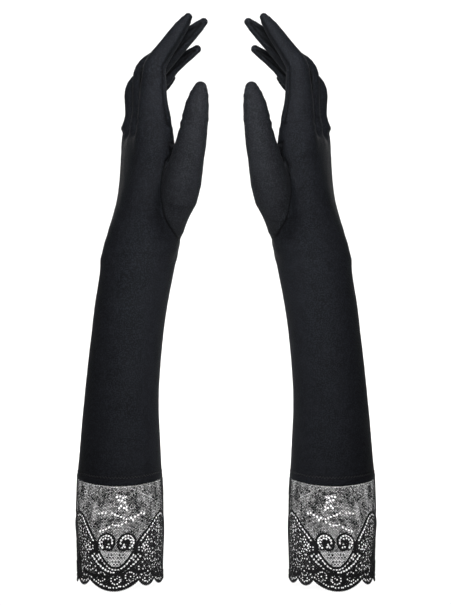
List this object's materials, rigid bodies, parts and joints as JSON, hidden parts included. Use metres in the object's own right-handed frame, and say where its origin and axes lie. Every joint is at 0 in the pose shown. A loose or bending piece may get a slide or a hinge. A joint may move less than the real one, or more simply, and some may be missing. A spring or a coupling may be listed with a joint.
{
  "type": "pair of opera gloves",
  "caption": "Long stretch-fabric gloves for evening wear, with fingers that bend, a set-in thumb and a scalloped floral lace cuff.",
  "frame": {"origin": "midway between the two gloves, level with the lowest edge of the lace cuffs, at the middle of the depth", "axes": "+Z from the arm openings up to the fingertips, +X from the left glove to the right glove, +Y from the thumb side to the little-finger side"},
  "size_m": [0.2406, 0.0978, 0.455],
  "materials": {
    "fabric": "satin-matt knitted stretch fabric, near-black",
    "panel_fabric": "the same stretch fabric cut on another grain, a shade lighter",
    "lace": "matt black corded floral lace on fine net",
    "thread": "matt black sewing thread and seam tape"
  },
  "bodies": {
    "left_arm": {"left_arm": "fabric", "left_lace_cuff": "lace", "left_cuff_seam": "thread", "left_arm_seam": "thread", "left_wrist": "fabric"},
    "left_hand": {"left_hand": "fabric", "left_thumb_panel": "panel_fabric", "left_thumb_crease": "panel_fabric"},
    "left_thumb": {"left_thumb_stall": "panel_fabric"},
    "left_index_lower": {"left_index_base": "fabric", "left_index_crease": "fabric", "left_index_fourchette_little_side": "panel_fabric"},
    "left_index_upper": {"left_index_stall": "fabric"},
    "left_middle_lower": {"left_middle_base": "fabric", "left_middle_crease": "fabric", "left_middle_fourchette_thumb_side": "panel_fabric", "left_middle_fourchette_little_side": "panel_fabric"},
    "left_middle_upper": {"left_middle_stall": "fabric"},
    "left_ring_lower": {"left_ring_base": "fabric", "left_ring_crease": "fabric", "left_ring_fourchette_thumb_side": "panel_fabric", "left_ring_fourchette_little_side": "panel_fabric"},
    "left_ring_upper": {"left_ring_stall": "fabric"},
    "left_little_lower": {"left_little_base": "fabric", "left_little_crease": "fabric", "left_little_fourchette_thumb_side": "panel_fabric"},
    "left_little_upper": {"left_little_stall": "fabric"},
    "right_arm": {"right_arm": "fabric", "right_lace_cuff": "lace", "right_cuff_seam": "thread", "right_arm_seam": "thread", "right_wrist": "fabric"},
    "right_hand": {"right_hand": "fabric", "right_thumb_panel": "panel_fabric", "right_thumb_crease": "panel_fabric"},
    "right_thumb": {"right_thumb_stall": "panel_fabric"},
    "right_index_lower": {"right_index_base": "fabric", "right_index_crease": "fabric", "right_index_fourchette_little_side": "panel_fabric"},
    "right_index_upper": {"right_index_stall": "fabric"},
    "right_middle_lower": {"right_middle_base": "fabric", "right_middle_crease": "fabric", "right_middle_fourchette_thumb_side": "panel_fabric", "right_middle_fourchette_little_side": "panel_fabric"},
    "right_middle_upper": {"right_middle_stall": "fabric"},
    "right_ring_lower": {"right_ring_base": "fabric", "right_ring_crease": "fabric", "right_ring_fourchette_thumb_side": "panel_fabric", "right_ring_fourchette_little_side": "panel_fabric"},
    "right_ring_upper": {"right_ring_stall": "fabric"},
    "right_little_lower": {"right_little_base": "fabric", "right_little_crease": "fabric", "right_little_fourchette_thumb_side": "panel_fabric"},
    "right_little_upper": {"right_little_stall": "fabric"}
  },
  "joints": [
    {"name": "left_wrist", "type": "hinge", "parent": "left_arm", "child": "left_hand", "pos_m": [-0.0695, 0.01047, 0.262], "axis": [0, 1, 0], "range_deg": [-40, 8], "deforming": ["left_wrist"]},
    {"name": "left_thumb_swing", "type": "hinge", "parent": "left_hand", "child": "left_thumb", "pos_m": [-0.026, -0.03833, 0.354], "axis": [1, 0, 0], "range_deg": [-25, 25], "deforming": ["left_thumb_crease"]},
    {"name": "left_index_knuckle", "type": "hinge", "parent": "left_hand", "child": "left_index_lower", "pos_m": [-0.0587, -0.01833, 0.362], "axis": [0, 1, 0], "range_deg": [-10, 40]},
    {"name": "left_index_bend", "type": "hinge", "parent": "left_index_lower", "child": "left_index_upper", "pos_m": [-0.0563, -0.01833, 0.413], "axis": [0, 1, 0], "range_deg": [-33, 42], "deforming": ["left_index_crease"]},
    {"name": "left_middle_knuckle", "type": "hinge", "parent": "left_hand", "child": "left_middle_lower", "pos_m": [-0.0643, 0.00087, 0.362], "axis": [0, 1, 0], "range_deg": [-10, 40]},
    {"name": "left_middle_bend", "type": "hinge", "parent": "left_middle_lower", "child": "left_middle_upper", "pos_m": [-0.0622, 0.00087, 0.41], "axis": [0, 1, 0], "range_deg": [-44, 32], "deforming": ["left_middle_crease"]},
    {"name": "left_ring_knuckle", "type": "hinge", "parent": "left_hand", "child": "left_ring_lower", "pos_m": [-0.0698, 0.01987, 0.362], "axis": [0, 1, 0], "range_deg": [-10, 40]},
    {"name": "left_ring_bend", "type": "hinge", "parent": "left_ring_lower", "child": "left_ring_upper", "pos_m": [-0.069, 0.01987, 0.399], "axis": [0, 1, 0], "range_deg": [-50, 28], "deforming": ["left_ring_crease"]},
    {"name": "left_little_knuckle", "type": "hinge", "parent": "left_hand", "child": "left_little_lower", "pos_m": [-0.0718, 0.03787, 0.362], "axis": [0, 1, 0], "range_deg": [-10, 40]},
    {"name": "left_little_bend", "type": "hinge", "parent": "left_little_lower", "child": "left_little_upper", "pos_m": [-0.071, 0.03787, 0.388], "axis": [0, 1, 0], "range_deg": [-48, 36], "deforming": ["left_little_crease"]},
    {"name": "pair_spacing", "type": "slide", "parent": "left_arm", "child": "right_arm", "axis": [1, 0, 0], "range_m": [0, 0.15]},
    {"name": "right_wrist", "type": "hinge", "parent": "right_arm", "child": "right_hand", "pos_m": [0.0695, 0.01047, 0.262], "axis": [0, -1, 0], "range_deg": [-40, 8], "deforming": ["right_wrist"]},
    {"name": "right_thumb_swing", "type": "hinge", "parent": "right_hand", "child": "right_thumb", "pos_m": [0.026, -0.03833, 0.354], "axis": [1, 0, 0], "range_deg": [-25, 25], "deforming": ["right_thumb_crease"]},
    {"name": "right_index_knuckle", "type": "hinge", "parent": "right_hand", "child": "right_index_lower", "pos_m": [0.0587, -0.01833, 0.362], "axis": [0, -1, 0], "range_deg": [-10, 40]},
    {"name": "right_index_bend", "type": "hinge", "parent": "right_index_lower", "child": "right_index_upper", "pos_m": [0.0563, -0.01833, 0.413], "axis": [0, -1, 0], "range_deg": [-33, 42], "deforming": ["right_index_crease"]},
    {"name": "right_middle_knuckle", "type": "hinge", "parent": "right_hand", "child": "right_middle_lower", "pos_m": [0.0643, 0.00087, 0.362], "axis": [0, -1, 0], "range_deg": [-10, 40]},
    {"name": "right_middle_bend", "type": "hinge", "parent": "right_middle_lower", "child": "right_middle_upper", "pos_m": [0.0622, 0.00087, 0.41], "axis": [0, -1, 0], "range_deg": [-44, 32], "deforming": ["right_middle_crease"]},
    {"name": "right_ring_knuckle", "type": "hinge", "parent": "right_hand", "child": "right_ring_lower", "pos_m": [0.0698, 0.01987, 0.362], "axis": [0, -1, 0], "range_deg": [-10, 40]},
    {"name": "right_ring_bend", "type": "hinge", "parent": "right_ring_lower", "child": "right_ring_upper", "pos_m": [0.069, 0.01987, 0.399], "axis": [0, -1, 0], "range_deg": [-50, 28], "deforming": ["right_ring_crease"]},
    {"name": "right_little_knuckle", "type": "hinge", "parent": "right_hand", "child": "right_little_lower", "pos_m": [0.0718, 0.03787, 0.362], "axis": [0, -1, 0], "range_deg": [-10, 40]},
    {"name": "right_little_bend", "type": "hinge", "parent": "right_little_lower", "child": "right_little_upper", "pos_m": [0.071, 0.03787, 0.388], "axis": [0, -1, 0], "range_deg": [-48, 36], "deforming": ["right_little_crease"]}
  ]
}
